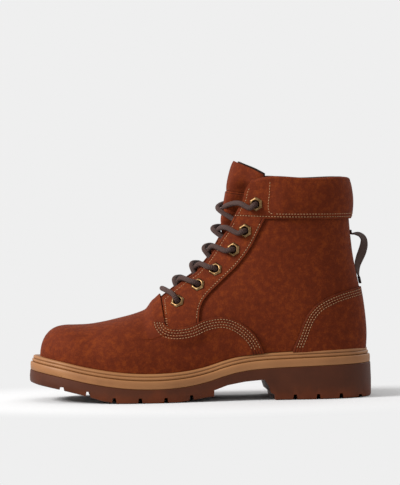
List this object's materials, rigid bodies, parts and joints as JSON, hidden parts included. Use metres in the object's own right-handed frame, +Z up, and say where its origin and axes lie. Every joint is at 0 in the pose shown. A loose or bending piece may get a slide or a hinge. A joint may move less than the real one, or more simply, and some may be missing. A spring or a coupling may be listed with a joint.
{
  "type": "lace-up insulated boot",
  "caption": "Left six-inch lace-up leather boot with a padded collar and tongue, insulated lining, tan welt and lugged rubber outsole.",
  "frame": {"origin": "centre of the boot's outline at ground level, under the middle of the outsole", "axes": "+Z up; the toe points along -X and the heel along +X; the outer (lateral) side of this left boot faces -Y"},
  "size_m": [0.31, 0.109, 0.2147],
  "materials": {
    "outsole_rubber": "matt moulded rubber, reddish brown",
    "tan_sole": "ridged tan rubber, satin",
    "leather": "reddish-brown nubuck, matt, fine creases",
    "lining": "brushed dark-brown lining cloth",
    "insulation": "lofted synthetic insulation",
    "board": "stiffened fibre board",
    "cork": "ground cork filler",
    "shank": "spring-steel strip",
    "antique_brass": "antiqued brass, worn bright on its edges",
    "lace": "round braided lace, dark brown",
    "webbing": "dark-brown woven webbing"
  },
  "bodies": {
    "boot": {"outsole": "outsole_rubber", "midsole": "tan_sole", "welt": "tan_sole", "cork_filler": "cork", "steel_shank": "shank", "insole_board": "board", "footbed": "lining", "vamp": "leather", "toe_puff": "board", "vamp_insulation": "insulation", "vamp_lining": "lining", "quarter_lateral": "leather", "eyestay_lateral": "leather", "facing_lining_lateral": "leather", "quarter_insulation_lateral": "insulation", "quarter_medial": "leather", "eyestay_medial": "leather", "facing_lining_medial": "leather", "quarter_insulation_medial": "insulation", "quarter_lining": "lining", "collar_cover": "leather", "collar_padding": "insulation", "heel_patch": "leather", "heel_counter": "board", "strap_upper": "webbing", "strap_lower": "webbing", "lace": "lace", "eyelet_lateral_1": "antique_brass", "eyelet_washer_lateral_1": "antique_brass", "eyelet_lateral_2": "antique_brass", "eyelet_washer_lateral_2": "antique_brass", "eyelet_lateral_3": "antique_brass", "eyelet_washer_lateral_3": "antique_brass", "eyelet_lateral_4": "antique_brass", "eyelet_washer_lateral_4": "antique_brass", "eyelet_lateral_5": "antique_brass", "eyelet_washer_lateral_5": "antique_brass", "eyelet_lateral_6": "antique_brass", "eyelet_washer_lateral_6": "antique_brass", "lace_end_lateral": "lace", "aglet_lateral": "antique_brass", "eyelet_medial_1": "antique_brass", "eyelet_washer_medial_1": "antique_brass", "eyelet_medial_2": "antique_brass", "eyelet_washer_medial_2": "antique_brass", "eyelet_medial_3": "antique_brass", "eyelet_washer_medial_3": "antique_brass", "eyelet_medial_4": "antique_brass", "eyelet_washer_medial_4": "antique_brass", "eyelet_medial_5": "antique_brass", "eyelet_washer_medial_5": "antique_brass", "eyelet_medial_6": "antique_brass", "eyelet_washer_medial_6": "antique_brass", "lace_end_medial": "lace", "aglet_medial": "antique_brass"},
    "tongue": {"tongue": "leather", "tongue_pad": "leather", "tongue_lining": "lining"},
    "pull_loop": {"pull_loop": "webbing"}
  },
  "joints": [
    {"name": "tongue_hinge", "type": "hinge", "parent": "boot", "child": "tongue", "pos_m": [-0.029, 0, 0.084], "axis": [0, 1, 0], "range_deg": [0, 8]},
    {"name": "pull_loop_swing", "type": "hinge", "parent": "boot", "child": "pull_loop", "pos_m": [0.1406, 0, 0.1305], "axis": [-0.136, 0, 0.9907], "range_deg": [-40, 40]}
  ]
}
